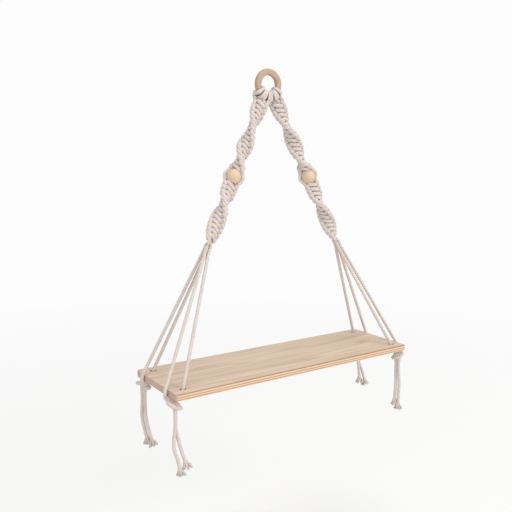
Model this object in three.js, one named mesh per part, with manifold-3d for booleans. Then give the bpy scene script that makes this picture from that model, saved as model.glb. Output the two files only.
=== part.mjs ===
// Hanging rope shelf: a plywood board hung by knotted cotton ropes from a wooden ring, in millimetres, +Z up.
// The board's length runs along X, the wall is on the +Y side and the origin is the point inside the ring's
// top that rests on the wall hook.
import * as THREE from "three";
import { mergeVertices } from "three/addons/utils/BufferGeometryUtils.js";
import Module from "manifold-3d";

const wasm = await Module();
wasm.setup();

// Board
const boardLength = 420;
const boardDepth = 120;
const boardThickness = 9;
const boardCornerRadius = 3.5;
const holeDiameter = 8.4;
const holeEndInset = 17.5;
const holeEdgeInset = 15.5;

// Ring
const ringInnerDiameter = 27;
const ringBand = 9.5;
const ringThickness = 8;
const ringEdgeRadius = 2.8;

// How the shelf hangs: the ring's centre to the board's top, and the wall to the ring's middle plane
const shelfDrop = 407;
const wallGap = 18.5;

// Rope: free, drawn tight as a knotting cord, squeezed as a core, and pressed flat on the ring
const ropeDiameter = 5;
const knottingDiameter = 4.4;
const coreDiameter = 3.9;
const hitchDiameter = 3.8;
const ropeGap = 0.35;

// Beads
const beadDiameter = 22;
const beadLength = 20.4;
const beadBore = 9.2;
const beadCordGap = 1.05;

// Knotted straps
const throatDrop = 33;
const throatSpread = 17.5;
const strapAngle = 26.6 * THREE.MathUtils.DEG2RAD;
const strapWidth = 25;
const knotPitch = 7.9;
const knotsAboveBead = 13;
const knotsBelowBead = 12;
const beadPassLength = 24;
const inletLength = 4;
const outletLength = 12;
const halfTurnLength = 64;
const firstNeck = 24.9;
const neckAngle = 57 * THREE.MathUtils.DEG2RAD;
const throatGap = 0.5;

// Hitches on the ring: how far round from its bottom each cord is, and how far its passes stand apart
const innerHitchAngle = 20.5 * THREE.MathUtils.DEG2RAD;
const outerHitchAngle = 61.5 * THREE.MathUtils.DEG2RAD;
const hitchGap = 0.55;
const hitchLegOffset = 2;
const hitchTailOffset = 2.1;
const hitchShoulderOffset = 3.8;
const hitchFootOffset = 6.2;

// Where the hitches' tails pass below the ring: outwards, towards the wall and up from the hanging point
const outerKnottingRoute = [[26.9, 5.6, -27.6], [27, 2.6, -33]];
const outerCoreRoute = [[22.7, 5.7, -29.4], [22.3, 3, -33.8]];
const innerCoreRoute = [[12, 4.6, -38.6]];
const innerKnottingRoute = [[7.4, 4.4, -39.8]];

// Knots under the corners and the tails below them
const knotHeight = 17;
const knotWidthStep = 3.3;
const knotDepthStep = 2.1;
const knotHeightStep = 0.42;
const knotEndInset = 4.5;
const knotEdgeInset = 12;
const endCordInset = 25;
const endCordGap = 0.7;
const buttGap = 0.5;
const tailStart = 3;
const swayDirection = new THREE.Vector3(0.82, -0.57, 0);
const tails = {
  left_front: [
    { length: 66, sways: [0, 0.4, 3.1, 5.8, 9, 12.6] },
    { length: 74, sways: [0, -1, -2.4, -1.6, 2.4, 5.2] },
  ],
  left_back: [
    { length: 70, sways: [0, 0.2, 1, 2.8, 5.6, 8.7] },
    { length: 68, sways: [0, -0.6, -1, 0.4, 2.7, 5.4] },
  ],
  right_front: [
    { length: 66, sways: [0, 0.2, 0.8, 0.9, 0.4, 0] },
    { length: 72, sways: [0, 1, 2.1, 2.2, 1.8, 1.5] },
  ],
  right_back: [
    { length: 54, sways: [0, 0.8, 2, 3.2, 4.2, 5.2] },
    { length: 60, sways: [0, 1.6, 4, 6.8, 9.4, 12] },
  ],
};

// Facets
const ropeSides = 6;
const knotSides = 5;
const tailSides = 8;
const stepsPerKnot = 5;
const coreSteps = 20;
const beadSteps = 7;
const beadSides = 22;
const knotSteps = 12;
const knotSamples = 12;
const knotTolerance = 0.25;
const knotReach = 1.8;

const wood = new THREE.MeshStandardMaterial({ color: "#d8b98c", roughness: 0.6, metalness: 0 });
const plywood = new THREE.MeshStandardMaterial({ color: "#d8c3a8", roughness: 0.65, metalness: 0 });
const cotton = new THREE.MeshStandardMaterial({ color: "#e2d9cf", roughness: 0.95, metalness: 0 });

// Places that follow from the sizes above
const ringInnerRadius = ringInnerDiameter / 2;
const ringOuterRadius = ringInnerRadius + ringBand;
const ringCentreZ = -ringInnerRadius;
const boardTopZ = ringCentreZ - shelfDrop;
const boardMidY = wallGap - boardDepth / 2;
const lean = Math.atan2(-boardMidY, shelfDrop);
const strapLength = (knotsAboveBead + knotsBelowBead) * knotPitch + beadPassLength;
const beadPlace = knotsAboveBead * knotPitch + beadPassLength / 2;
const sides = { left: -1, right: 1 };
const depths = { front: -1, back: 1 };

// A smooth route that is sampled at its own points, however far apart they lie
class RopeRoute extends THREE.CatmullRomCurve3 {
  getPointAt(share, target) {
    return this.getPoint(share, target);
  }

  getTangentAt(share, target) {
    return this.getTangent(share, target);
  }
}

// A closed tube: a regular polygon carried along the route through some points
function ropeGeometry(points, diameter, sideCount = ropeSides) {
  const outline = new THREE.Shape();
  for (let side = 0; side < sideCount; side++) {
    const angle = (side / sideCount) * 2 * Math.PI;
    const x = (diameter / 2) * Math.cos(angle);
    const y = (diameter / 2) * Math.sin(angle);
    if (side === 0) outline.moveTo(x, y);
    else outline.lineTo(x, y);
  }
  const extrudePath = new RopeRoute(points, false, "centripetal");
  return new THREE.ExtrudeGeometry(outline, { steps: points.length - 1, extrudePath });
}

function named(name, geometry, material) {
  const mesh = new THREE.Mesh(geometry, material);
  mesh.name = name;
  return mesh;
}

// A geometry as a solid for a join, and back
function solidOf(geometry) {
  const bare = geometry.clone();
  bare.deleteAttribute("normal");
  bare.deleteAttribute("uv");
  const merged = mergeVertices(bare, 1e-4);
  return new wasm.Manifold(
    new wasm.Mesh({
      numProp: 3,
      vertProperties: merged.attributes.position.array,
      triVerts: new Uint32Array(merged.index.array),
    }),
  );
}

function geometryOf(solid) {
  const mesh = solid.getMesh();
  return new THREE.BufferGeometry()
    .setAttribute("position", new THREE.BufferAttribute(mesh.vertProperties, mesh.numProp))
    .setIndex(new THREE.BufferAttribute(mesh.triVerts, 1));
}

// Ring: a rectangle with rounded edges turned about the ring's own axis, then stood up facing the room
function hangingRing() {
  const halfThickness = ringThickness / 2;
  const section = new THREE.Shape();
  const corners = [
    [ringInnerRadius, -halfThickness, 180, 270],
    [ringOuterRadius, -halfThickness, 270, 360],
    [ringOuterRadius, halfThickness, 0, 90],
    [ringInnerRadius, halfThickness, 90, 180],
  ];
  for (const [radius, height, start, end] of corners) {
    const inwards = radius === ringInnerRadius ? ringEdgeRadius : -ringEdgeRadius;
    const towardsMiddle = height < 0 ? ringEdgeRadius : -ringEdgeRadius;
    section.absarc(
      radius + inwards,
      height + towardsMiddle,
      ringEdgeRadius,
      start * THREE.MathUtils.DEG2RAD,
      end * THREE.MathUtils.DEG2RAD,
      false,
    );
  }
  const profile = section.getPoints(1);
  profile.push(profile[0].clone());
  const ring = named("hanging_ring", new THREE.LatheGeometry(profile, 40), wood);
  ring.position.z = ringCentreZ;
  return ring;
}

// Board: a rectangle with rounded corners and four holes
function shelfBoard() {
  const halfLength = boardLength / 2;
  const halfDepth = boardDepth / 2;
  const radius = boardCornerRadius;
  const outline = new THREE.Shape();
  outline.absarc(halfLength - radius, -halfDepth + radius, radius, -Math.PI / 2, 0, false);
  outline.absarc(halfLength - radius, halfDepth - radius, radius, 0, Math.PI / 2, false);
  outline.absarc(-halfLength + radius, halfDepth - radius, radius, Math.PI / 2, Math.PI, false);
  outline.absarc(-halfLength + radius, -halfDepth + radius, radius, Math.PI, 1.5 * Math.PI, false);
  outline.closePath();
  for (const side of Object.values(sides)) {
    for (const depth of Object.values(depths)) {
      const hole = new THREE.Path();
      const x = side * (halfLength - holeEndInset);
      const y = depth * (halfDepth - holeEdgeInset);
      hole.absarc(x, y, holeDiameter / 2, 0, 2 * Math.PI, true);
      outline.holes.push(hole);
    }
  }
  const geometry = new THREE.ExtrudeGeometry(outline, {
    depth: boardThickness,
    bevelEnabled: false,
    curveSegments: 6,
  });
  const board = named("shelf_board", geometry, plywood);
  board.position.set(0, boardMidY, boardTopZ - boardThickness);
  return board;
}

// Straps: each is worked in its own frame, with Z up the strap from its start at the throat, Y square to the
// plane that both straps hang in and X across. The flat of the knots turns about Z, left-handed.
const halfWidth = (strapWidth - knottingDiameter) / 2;
const coreOffset = (coreDiameter + ropeGap) / 2;
const barOffset = (coreDiameter + knottingDiameter) / 2 + ropeGap;
const barSquarenessShare = 0.18;
const beadPassShares = [0, 0.25, 0.5, 0.75];
const outletShares = [0, 0.25, 0.5, 0.75, 1];
const outletSettledShare = 0.75;
const pairOffset = (ropeDiameter + ropeGap) / 2;
const hangerStart = strapLength + outletLength;

// Which corner of the square bundle at the strap's end each strand leaves by
const bundleCorners = {
  knotting_cord_1: [1, 1],
  knotting_cord_2: [-1, -1],
  core_cord_1: [1, -1],
  core_cord_2: [-1, 1],
};

// A point at a distance along the strap, u along the flat of the knots and v square to it
function strapPoint(along, u, v = 0) {
  const angle = neckAngle + ((along - firstNeck) / halfTurnLength) * Math.PI;
  return new THREE.Vector3(
    u * Math.cos(angle) - v * Math.sin(angle),
    u * Math.sin(angle) + v * Math.cos(angle),
    -along,
  );
}

function bundlePoint(corner, along) {
  return new THREE.Vector3(corner[0] * pairOffset, corner[1] * pairOffset, -along);
}

// Half knots: one cord crosses in front of the cores while the other crosses behind, and each knot swaps
// them. In the flat's own frame the cord runs round a squared oval, half a turn to a knot.
function halfKnotPoints(firstKnot, knotCount, start, sign) {
  const points = [];
  for (let step = 0; step < knotCount * stepsPerKnot; step++) {
    const knot = step / stepsPerKnot;
    const turn = (firstKnot + knot) * Math.PI;
    const u = halfWidth * Math.cos(turn);
    const squareness = barSquarenessShare * Math.sin(3 * turn);
    const v = barOffset * ((1 + barSquarenessShare) * Math.sin(turn) + squareness);
    points.push(strapPoint(start + knot * knotPitch, sign * u, sign * v));
  }
  return points;
}

// Beside the bead the knotting cord bows out round the bead's girth
function beadPassPoints(start, sign) {
  const bow = beadDiameter / 2 + beadCordGap + knottingDiameter / 2 - halfWidth;
  return beadPassShares.map((share) => {
    const u = halfWidth + bow * Math.sin(share * Math.PI) ** 2;
    return strapPoint(start + share * beadPassLength, sign * u);
  });
}

// Below the last knot a strand moves over to its corner of the bundle
function outletPoints(u, corner) {
  return outletShares.map((share) => {
    const along = strapLength + share * outletLength;
    const moved = Math.min(share / outletSettledShare, 1);
    return strapPoint(along, u).lerp(bundlePoint(corner, along), Math.sin((moved * Math.PI) / 2) ** 2);
  });
}

function knottingCord(name, sign, corner) {
  const aboveEnd = knotsAboveBead * knotPitch;
  const signAtBead = sign * Math.cos(knotsAboveBead * Math.PI);
  const signAtEnd = sign * Math.cos((knotsAboveBead + knotsBelowBead) * Math.PI);
  const points = [
    strapPoint(-inletLength, sign * halfWidth),
    ...halfKnotPoints(0, knotsAboveBead, 0, sign),
    ...beadPassPoints(aboveEnd, signAtBead),
    ...halfKnotPoints(knotsAboveBead, knotsBelowBead, aboveEnd + beadPassLength, sign),
    ...outletPoints(signAtEnd * halfWidth, corner),
  ];
  return named(name, ropeGeometry(points, knottingDiameter), cotton);
}

function coreCord(name, sign, corner) {
  const points = [strapPoint(-inletLength, sign * coreOffset)];
  for (let step = 0; step < coreSteps; step++) {
    points.push(strapPoint((step / coreSteps) * strapLength, sign * coreOffset));
  }
  points.push(...outletPoints(sign * coreOffset, corner));
  return named(name, ropeGeometry(points, coreDiameter), cotton);
}

// Bead: a ball a little shorter along its bore than it is wide
function bead(name) {
  const rimAngle = Math.acos(beadBore / beadDiameter);
  const profile = [];
  for (let step = 0; step <= beadSteps; step++) {
    const angle = rimAngle * ((2 * step) / beadSteps - 1);
    const height = (beadLength / 2) * (Math.sin(angle) / Math.sin(rimAngle));
    profile.push(new THREE.Vector2((beadDiameter / 2) * Math.cos(angle), height));
  }
  profile.push(profile[0].clone());
  const mesh = named(name, new THREE.LatheGeometry(profile, beadSides), wood);
  mesh.rotation.x = Math.PI / 2;
  mesh.position.z = -beadPlace;
  return mesh;
}

// A strap's frame in the part: down and outwards from the throat, in the plane that leans off the wall
function strapFrame(side) {
  const up = new THREE.Vector3(
    -side * Math.sin(strapAngle),
    Math.cos(strapAngle) * Math.sin(lean),
    Math.cos(strapAngle) * Math.cos(lean),
  );
  const square = new THREE.Vector3(0, Math.cos(lean), -Math.sin(lean));
  const across = new THREE.Vector3().crossVectors(square, up);
  const frame = new THREE.Matrix4().makeBasis(across, square, up);
  return frame.setPosition(side * throatSpread, -throatDrop * Math.tan(lean), ringCentreZ - throatDrop);
}

function strap(sideName) {
  const group = new THREE.Group();
  group.applyMatrix4(strapFrame(sides[sideName]));
  group.add(
    knottingCord(sideName + "_knotting_cord_1", 1, bundleCorners.knotting_cord_1),
    knottingCord(sideName + "_knotting_cord_2", -1, bundleCorners.knotting_cord_2),
    coreCord(sideName + "_core_cord_1", 1, bundleCorners.core_cord_1),
    coreCord(sideName + "_core_cord_2", -1, bundleCorners.core_cord_2),
    bead(sideName + "_bead"),
  );
  return group;
}

// A point by its angle round the ring from the bottom, its distance from the centre and its depth
function ringPoint(angle, radius, y) {
  return new THREE.Vector3(radius * Math.sin(angle), y, ringCentreZ - radius * Math.cos(angle));
}

// Hitch: a lark's head with its bar behind the ring. From the bar each half goes under the ring, up its
// front, over its inner edge and down behind it, under the bar, to the top of a strand of the strap.
function hitchHalf(hitchAngle, outwards, tail) {
  const side = Math.sign(hitchAngle);
  const clear = hitchDiameter / 2 + hitchGap;
  const bend = (ringEdgeRadius + clear) * Math.SQRT1_2;
  const face = ringThickness / 2 + clear;
  const edgeDepth = ringThickness / 2 - ringEdgeRadius + bend;
  const inner = ringInnerRadius + ringEdgeRadius;
  const outer = ringOuterRadius - ringEdgeRadius;
  const barDepth = face + hitchDiameter + ropeGap;
  const at = (offset, radius, y) => ringPoint(hitchAngle + outwards * Math.asin(offset / radius), radius, y);
  return [
    at(0, (inner + outer) / 2, barDepth),
    at(hitchTailOffset, (inner + outer) / 2, barDepth),
    at(hitchShoulderOffset, outer, barDepth - ropeGap),
    at(hitchFootOffset, ringOuterRadius + clear / 2, face),
    at(hitchFootOffset, ringOuterRadius + clear, 0),
    at(hitchFootOffset - ropeGap, outer + bend, -edgeDepth),
    at((hitchFootOffset + hitchLegOffset) / 2, (inner + outer) / 2, -face),
    at(hitchLegOffset, inner - bend, -edgeDepth),
    at(hitchLegOffset, ringInnerRadius - clear, 0),
    at(hitchLegOffset, inner - bend, edgeDepth),
    at(hitchTailOffset, inner, face),
    at(hitchTailOffset, outer, face),
    at(hitchTailOffset, ringOuterRadius + ropeGap, face),
    ...tail.route.map(([x, y, z]) => new THREE.Vector3(side * x, y, z)),
    ...strandTop(side, side * tail.offset),
  ];
}

// How a hitch's tail comes in, in line with a strand of the strap, to stop a small gap above it
function strandTop(side, u) {
  const frame = strapFrame(side);
  return [throatGap + hitchDiameter / 2, throatGap].map((gap) =>
    strapPoint(-inletLength - gap, u).applyMatrix4(frame),
  );
}

function hitch(name, angle, outerTail, innerTail) {
  const outwards = Math.sign(angle);
  const outerHalf = hitchHalf(angle, outwards, outerTail);
  const innerHalf = hitchHalf(angle, -outwards, innerTail);
  const points = [...outerHalf.reverse(), ...innerHalf.slice(1)];
  return named(name, ropeGeometry(points, hitchDiameter), cotton);
}

function ringHitches() {
  const group = new THREE.Group();
  const outerKnotting = { offset: halfWidth, route: outerKnottingRoute };
  const outerCore = { offset: coreOffset, route: outerCoreRoute };
  const innerCore = { offset: -coreOffset, route: innerCoreRoute };
  const innerKnotting = { offset: -halfWidth, route: innerKnottingRoute };
  group.add(
    hitch("ring_hitch_1", -outerHitchAngle, outerKnotting, outerCore),
    hitch("ring_hitch_2", -innerHitchAngle, innerCore, innerKnotting),
    hitch("ring_hitch_3", innerHitchAngle, innerCore, innerKnotting),
    hitch("ring_hitch_4", outerHitchAngle, outerKnotting, outerCore),
  );
  return group;
}

// Where the cords go down past the board: one through a hole, one close beside the board's end
function cordPlace(side, depth, kind) {
  const endPlace = boardLength / 2 + ropeDiameter / 2 + endCordGap;
  const x = kind === "hole" ? boardLength / 2 - holeEndInset : endPlace;
  const y = boardDepth / 2 - (kind === "hole" ? holeEdgeInset : endCordInset);
  return new THREE.Vector3(side * x, boardMidY + depth * y, boardTopZ - boardThickness / 2);
}

const hangerShares = [0.04, 0.12, 0.35, 0.65, 0.93, 0.975];

// Hanger: straight from the strap's bundle to the board, bending at its ends
function hangerCord(sideName, depthName, kind) {
  const side = sides[sideName];
  const depth = depths[depthName];
  const frame = strapFrame(side);
  const corner = [kind === "end" ? side : -side, depth];
  const start = bundlePoint(corner, hangerStart + buttGap).applyMatrix4(frame);
  const leaving = bundlePoint(corner, hangerStart + ropeDiameter).applyMatrix4(frame);
  const foot = cordPlace(side, depth, kind);
  const towards = leaving.clone().sub(foot).setZ(0).normalize();
  const rim = foot.clone().addScaledVector(towards, ropeGap * 2);
  rim.z = boardTopZ + ropeGap;
  const run = hangerShares.map((share) => leaving.clone().lerp(rim, share));
  foot.z += buttGap / 2;
  const points = [start, leaving, ...run, rim, foot];
  return named(sideName + "_" + depthName + "_" + kind + "_cord", ropeGeometry(points, ropeDiameter), cotton);
}

// The middle line of an overhand knot, from above down: a long trefoil about the knot's centre
function overhandLine() {
  const points = [new THREE.Vector3(0, -knotDepthStep, knotHeight / 4)];
  for (let step = 0; step <= knotSteps; step++) {
    const turn = knotReach * (1 - (2 * step) / knotSteps);
    points.push(
      new THREE.Vector3(
        (turn ** 3 - 3 * turn) * knotWidthStep,
        (turn ** 4 - 4 * turn ** 2 + 2) * knotDepthStep,
        (turn ** 5 - 10 * turn) * knotHeightStep,
      ),
    );
  }
  points.push(new THREE.Vector3(0, 0, -knotHeight / 3));
  return new THREE.CatmullRomCurve3(points, false, "centripetal");
}

// How far in under the board and above its run there a cord is as it turns in to the knot, in rope diameters
const knotInletShares = [[0, 0.75], [0.22, 0.15], [0.85, 0]];

function knotCentre(side, depth) {
  return new THREE.Vector3(
    side * (boardLength / 2 - knotEndInset),
    boardMidY + depth * (boardDepth / 2 - knotEdgeInset),
    boardTopZ - boardThickness - buttGap - knotHeight / 2,
  );
}

// One cord of a corner knot, about the knot's centre: down past the board, in under it, and along the
// overhand line a half cord's width to one side of it, then out below
function knotCordPoints(side, depth, kind) {
  const place = cordPlace(side, depth, kind).sub(knotCentre(side, depth));
  place.x *= side;
  place.y *= depth;
  const inward = new THREE.Vector3(-place.x, -knotDepthStep - place.y, 0).normalize();
  const underBoard = knotHeight / 2 - ropeDiameter / 2;
  const points = [
    place.clone().setZ(place.z - buttGap / 2),
    ...knotInletShares.map(([inShare, upShare]) =>
      place.clone().addScaledVector(inward, ropeDiameter * inShare).setZ(underBoard + ropeDiameter * upShare),
    ),
  ];
  const line = overhandLine();
  const frames = line.computeFrenetFrames(knotSamples, false);
  const offset = kind === "hole" ? pairOffset : -pairOffset;
  for (let sample = 0; sample <= knotSamples; sample++) {
    points.push(line.getPointAt(sample / knotSamples).addScaledVector(frames.normals[sample], offset));
  }
  const last = points[points.length - 1];
  points.push(last.clone().setZ(-knotHeight / 2), last.clone().setZ(-knotHeight / 2 - tailStart));
  return points.map((point) => point.set(point.x * side, point.y * depth, point.z));
}

// Corner knot: the hole cord and the end cord tied together, joined into one body
function cornerKnot(sideName, depthName) {
  const side = sides[sideName];
  const depth = depths[depthName];
  let knot = null;
  for (const kind of ["hole", "end"]) {
    const points = knotCordPoints(side, depth, kind);
    const third = Math.round(points.length / 3);
    const cuts = [0, third + 1, 2 * third, points.length - 1];
    for (let piece = 0; piece < cuts.length - 1; piece++) {
      const from = Math.max(cuts[piece] - 1, 0);
      const tube = solidOf(ropeGeometry(points.slice(from, cuts[piece + 1] + 1), ropeDiameter, knotSides));
      knot = knot ? knot.add(tube) : tube;
    }
  }
  const [body] = knot.simplify(knotTolerance).decompose().sort((a, b) => b.volume() - a.volume());
  const mesh = named(sideName + "_" + depthName + "_knot", geometryOf(body), cotton);
  mesh.position.copy(knotCentre(side, depth));
  return mesh;
}

// Tail: the free end of a cord below its knot, swaying a little to one side as it was laid
function tailCord(sideName, depthName, number) {
  const side = sides[sideName];
  const depth = depths[depthName];
  const { length, sways } = tails[sideName + "_" + depthName][number - 1];
  const start = knotCordPoints(side, depth, number === 1 ? "hole" : "end").pop().add(knotCentre(side, depth));
  start.z -= buttGap;
  const points = [start];
  sways.forEach((sway, index) => {
    const drop = (length * (index + 1)) / sways.length;
    points.push(start.clone().addScaledVector(swayDirection, sway).setZ(start.z - drop));
  });
  const tail = ropeGeometry(points, ropeDiameter, tailSides);
  return named(sideName + "_" + depthName + "_tail_" + number, tail, cotton);
}

const shelf = new THREE.Group();
shelf.add(hangingRing(), ringHitches(), strap("left"), strap("right"), shelfBoard());
for (const sideName of Object.keys(sides)) {
  for (const depthName of Object.keys(depths)) {
    shelf.add(
      hangerCord(sideName, depthName, "hole"),
      hangerCord(sideName, depthName, "end"),
      cornerKnot(sideName, depthName),
      tailCord(sideName, depthName, 1),
      tailCord(sideName, depthName, 2),
    );
  }
}

export default shelf;
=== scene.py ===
"""Hanging rope shelf: a plywood board hung by spiral-knotted cotton ropes from a wooden ring. Lengths are
worked out in millimetres in the part's frame, and meshes are made in metres."""
import math

import bpy
import numpy as np
from mathutils import Matrix, Vector


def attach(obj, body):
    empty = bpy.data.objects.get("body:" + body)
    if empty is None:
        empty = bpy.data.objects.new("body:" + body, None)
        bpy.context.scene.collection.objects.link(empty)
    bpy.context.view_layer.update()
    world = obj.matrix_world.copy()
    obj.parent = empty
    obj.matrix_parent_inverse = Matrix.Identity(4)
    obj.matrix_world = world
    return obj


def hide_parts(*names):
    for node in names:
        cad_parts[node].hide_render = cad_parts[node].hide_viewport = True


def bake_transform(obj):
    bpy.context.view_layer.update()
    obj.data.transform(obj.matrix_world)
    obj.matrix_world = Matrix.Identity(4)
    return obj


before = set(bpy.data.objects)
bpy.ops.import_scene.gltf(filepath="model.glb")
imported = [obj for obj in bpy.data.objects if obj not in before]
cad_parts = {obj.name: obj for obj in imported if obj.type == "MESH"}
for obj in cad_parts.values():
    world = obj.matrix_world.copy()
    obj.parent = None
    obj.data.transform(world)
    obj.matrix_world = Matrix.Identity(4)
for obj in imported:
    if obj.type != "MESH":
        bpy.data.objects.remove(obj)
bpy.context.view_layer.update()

MM = 0.001
FULL_TURN = 2 * math.pi
LEFT, RIGHT = -1, 1
SIDE = {"left": LEFT, "right": RIGHT}
DEPTH = {"front": -1, "back": 1}

# Ring and board
RING_INNER, RING_OUTER = 13.5, 23.0
RING_THICK, RING_EDGE = 8.0, 2.8
RING_Z = -13.5
BOARD_X, BOARD_Y, BOARD_Z = 420.0, 120.0, 9.0
WALL_Y = 18.5
DROP = 407.0
BOARD_TOP = RING_Z - DROP
BOARD_MID = WALL_Y - BOARD_Y / 2

# Diameters of the rope where it hangs free, and where it is tied, and the gap between two ropes side by side
ROPE = 5.0
KNOTTING_ROPE, CORE_ROPE, HITCH_ROPE, CORNER_ROPE = 5.2, 4.4, 4.4, 6.0
GAP = 0.35
PAIR_OFF = (ROPE + GAP) / 2

# The straps' lean off the wall, their spread, and the throat under the ring from which both go down
LEAN = math.atan2(-BOARD_MID, DROP)
SPREAD = math.radians(26.6)
THROAT_DROP, THROAT_OUT = 33.0, 17.5

# Half knots: their pitch and number, how far down each strap they end, half the width of their flat, the
# waves that a knotting cord follows square to the flat, in t, 3t and 5t, and down the strap, in 2t and 4t,
# the points in a knot, and how far the last one is drawn in
PITCH, KNOTS_ABOVE, KNOTS_BELOW = 7.9, 13, 12
KNOTS_END = {LEFT: 214.0, RIGHT: 221.5}
HALF_WIDTH = 10.0
HOOK_1, HOOK_3, HOOK_5 = 2.36, 2.88, 0.94
ALONG_2, ALONG_4 = 4.3, 0.15
KNOT_POINTS = 16
LAST_IN = 0.6

# How many half turns the flat of the knots has made, at places down each strap. There is a neck at each
# whole number, where the flat lies at NECK_ANGLE.
NECK_ANGLE = math.radians(57)
TURNS = {
    LEFT: ((0, 30.5, 48, 58, 69, 86.5, 104, 125, 143, 153.7, 218.5, 240),
           (-0.5, 0, 0.19, 0.35, 0.65, 1, 1.45, 1.56, 1.7, 2, 3, 3.33)),
    RIGHT: ((0, 30.1, 90.6, 104, 125, 146, 153, 161.5, 227.2, 240),
            (-0.5, 0, 1, 1.5, 1.6, 1.67, 1.78, 2, 3, 3.2)),
}

# Beads, their place down the strap, the stretch in which the knotting cords pass them, in these shares, and
# the clearance and fade of what changes in the bore
BEAD, BEAD_LONG, BEAD_BORE, BEAD_LIP = 22.0, 20.4, 9.2, 0.8
BEAD_PLACE, BEAD_PASS = 114.7, 21.0
BEAD_SHARES = np.array([0.12, 0.3, 0.5, 0.7, 0.88])
BORE_CLEAR, BORE_FADE = 1.0, 6.0

# Core cords: their distance from the axis, outside the bead and in it, and the points of their route
CORE_OFF, CORE_IN_BEAD, CORE_POINTS = 3.1, 2.1, 64

# Outlet, the stretch under the knots where a strap's four cords gather in a square bundle
OUTLET = 12.0
OUTLET_SHARES, GATHERED = (0.15, 0.4, 0.75, 1), 0.75

# Hitches: their clearance from the ring, how far from a hitch's middle a strand passes and turns, and how
# far above the knots it ends. For each strand: its offsets low and high on the ring's front, the point that
# it passes on its way to the strap, and its place across the strap's flat.
HITCH_CLEAR, HITCH_PASS, HITCH_TURN, ABOVE_KNOTS = 0.1, 2.1, 3.2, 2.4
HITCH_STRANDS = {
    "outer_knotting": (3.9, 2.9, (21.5, 5.9, -30.4), HALF_WIDTH),
    "outer_core": (4.7, 2.1, (17.0, 5.8, -34.2), CORE_OFF),
    "inner_core": (4.7, 2.1, (10.8, 5.2, -37.4), -CORE_OFF),
    "inner_knotting": (4.7, 2.1, (6.6, 4.6, -39.6), -HALF_WIDTH),
}

# How pulled rope is pressed: across, square to and along the flat of a strap, and on the ring
STRAP_PRESSED = {"knotting": (0.97, 0.82, 1.22), "core": (1.4, 0.95, 1.0)}
RING_WIDER, RING_FLATTER, RING_FAN = 1.38, 0.88, 0.15

# Hangers: how far in from the board's end and long edge its hole is, and where the other cord passes off the
# end, and the shares of their run at which they have points
HOLE_IN, HOLE_EDGE = 17.5, 15.5
END_IN, END_GAP = 25.0, 0.7
HANGER_SHARES = (0.04, 0.12, 0.35, 0.65, 0.93, 0.975)

# Corner knots: their place and size, the gap under the board, the range of t on the overhand line, its
# points each way and those that are kept, how close the cords lie to that line, and the way that they come
# in, as shares of a rope's width inwards and up
KNOT_IN, KNOT_EDGE, KNOT_GAP = 4.5, 12.0, 0.5
KNOT_HIGH, KNOT_STEP = 17.0, (3.3, 2.1, 0.42)
KNOT_REACH, KNOT_HALF, KNOT_BODY = 1.8, 6, 15
KNOT_SQUEEZE = 0.9
KNOT_INLET = ((0, 0.75), (0.22, 0.15), (0.85, 0))

# Tails: where they start under the knot, and their lengths with their sways at even drops
TAIL_START = 3.0
SWAY = np.array([0.82, -0.57, 0.0])
TAILS = {
    ("left", "front", 1): (66, [0, 0.4, 3.1, 5.8, 9, 12.6]),
    ("left", "front", 2): (74, [0, -1, -2.4, -1.6, 2.4, 5.2]),
    ("left", "back", 1): (70, [0, 0.2, 1, 2.8, 5.6, 8.7]),
    ("left", "back", 2): (68, [0, -0.6, -1, 0.4, 2.7, 5.4]),
    ("right", "front", 1): (66, [0, 0.2, 0.8, 0.9, 0.4, 0]),
    ("right", "front", 2): (72, [0, 1, 2.1, 2.2, 1.8, 1.5]),
    ("right", "back", 1): (54, [0, 0.8, 2, 3.2, 4.2, 5.2]),
    ("right", "back", 2): (60, [0, 2.4, 6, 9.8, 13.2, 16]),
}

# The rope's lay: three rounded strands, and the pattern of its fibres
STRANDS, PER_STRAND = 3, 7
STRAND_SHAPE = np.array([0.84, 0.92, 0.98, 1.0, 1.0, 0.98, 0.92])
GROOVE_DEPTH = 0.16
LAY_LENGTH = 10.8
FIBRE_TURN, FIBRE_RADIUS = 0.1, 2.5


def unit(v):
    """Vectors divided by their own lengths."""
    return v / np.linalg.norm(v, axis=-1, keepdims=True)


# Routes

def distances(path):
    """Each point's distance along a path, the sum of the steps before it."""
    return np.concatenate([[0], np.cumsum(np.linalg.norm(np.diff(path, axis=0), axis=1))])


def root_distance(a, b):
    """The square root of the distance from a to b, which is never quite nothing."""
    return max(np.linalg.norm(b - a), 1e-6) ** 0.5


def between(a, b, start, stop, t):
    """A straight mix of a and b, which is a at t = start and b at t = stop."""
    return (stop - t) / (stop - start) * a + (t - start) / (stop - start) * b


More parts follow.
